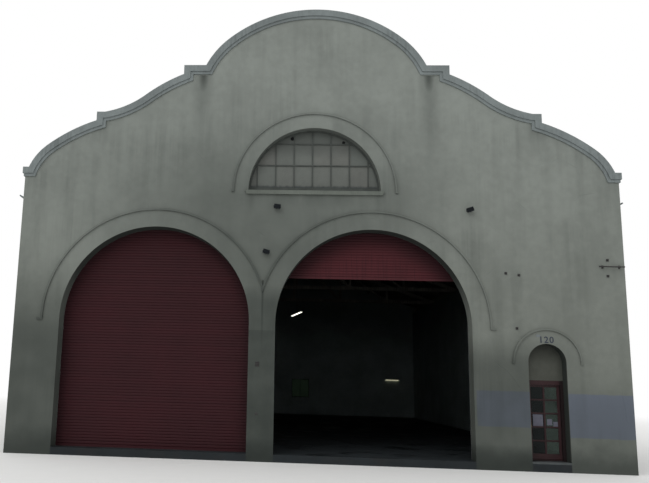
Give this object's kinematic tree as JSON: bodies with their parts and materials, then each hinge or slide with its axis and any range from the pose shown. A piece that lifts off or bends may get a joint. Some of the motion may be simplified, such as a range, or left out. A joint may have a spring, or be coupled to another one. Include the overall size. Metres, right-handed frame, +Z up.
{
  "type": "streetcar barn",
  "caption": "Gabled car barn with a curved moulded parapet, half-round gable window, twin arched gateways with roller shutters and a small arched foot door.",
  "frame": {"origin": "middle of the footprint, on the base plane at the lowest ground level", "axes": "+Z up, +X to the right seen from the street, +Y from the street front into the building"},
  "size_m": [17.38, 30.655, 12.9997],
  "materials": {
    "wall_plaster": "weathered painted lime plaster, matt",
    "moulded_plaster": "weathered moulded plaster, matt",
    "sash_paint": "old dark oil paint on steel bars",
    "painted_glass": "glass painted over in the wall colour",
    "clear_glass": "old window glass",
    "floor_concrete": "trowelled concrete, stained",
    "roof_sheet": "corrugated sheet, dull grey paint",
    "gutter_metal": "painted sheet metal, matt",
    "roof_timber": "rough sawn, darkened",
    "shutter_paint": "dark red paint, chalky",
    "shutter_steel": "dark painted steel",
    "door_paint": "red-brown paint on wood, satin",
    "infill_board": "painted board, matt",
    "hinge_steel": "dull steel",
    "knob_brass": "worn brass",
    "lamp_housing": "dark enamel",
    "lamp_diffuser": "white lamp body with lit tube"
  },
  "bodies": {
    "building": {"front_left_pier": "wall_plaster", "front_middle_pier": "wall_plaster", "front_right_pier": "wall_plaster", "front_corner_pier": "wall_plaster", "front_door_arch": "wall_plaster", "front_left_spandrel": "wall_plaster", "front_right_spandrel": "wall_plaster", "front_gable": "wall_plaster", "parapet_coping": "moulded_plaster", "hood_mouldings": "moulded_plaster", "lunette_sill": "moulded_plaster", "lunette_sash": "sash_paint", "lunette_glass": "painted_glass", "side_wall_left": "wall_plaster", "side_wall_right": "wall_plaster", "rear_wall": "wall_plaster", "rear_window_bars": "sash_paint", "rear_window_glass": "clear_glass", "floor_slab": "floor_concrete", "roof_slope_left": "roof_sheet", "roof_slope_right": "roof_sheet", "ridge_cap": "roof_sheet", "gutters": "gutter_metal", "roof_truss_1": "roof_timber", "roof_truss_2": "roof_timber", "roof_truss_3": "roof_timber", "roof_truss_4": "roof_timber", "purlins": "roof_timber", "ridge_beam": "roof_timber", "shutter_left_curtain": "shutter_paint", "shutter_right_curtain": "shutter_paint", "shutter_left_coil": "shutter_steel", "shutter_right_coil": "shutter_steel", "shutter_bottom_bars": "shutter_paint", "shutter_guides": "shutter_steel", "shutter_brackets": "shutter_steel", "door_frame": "door_paint", "door_infill_panel": "infill_board", "door_threshold": "floor_concrete", "door_hinge_posts": "hinge_steel", "floodlights": "lamp_housing", "pipe_bracket": "hinge_steel", "strip_lights": "lamp_diffuser"},
    "door": {"door_leaf": "door_paint", "door_panes": "clear_glass", "door_knobs": "knob_brass", "door_hinge_knuckles": "hinge_steel"}
  },
  "joints": [
    {"name": "door_hinge", "type": "hinge", "parent": "building", "child": "door", "pos_m": [6.6675, -14.781, 1.25], "axis": [0, 0, -1], "range_deg": [0, 90]}
  ]
}
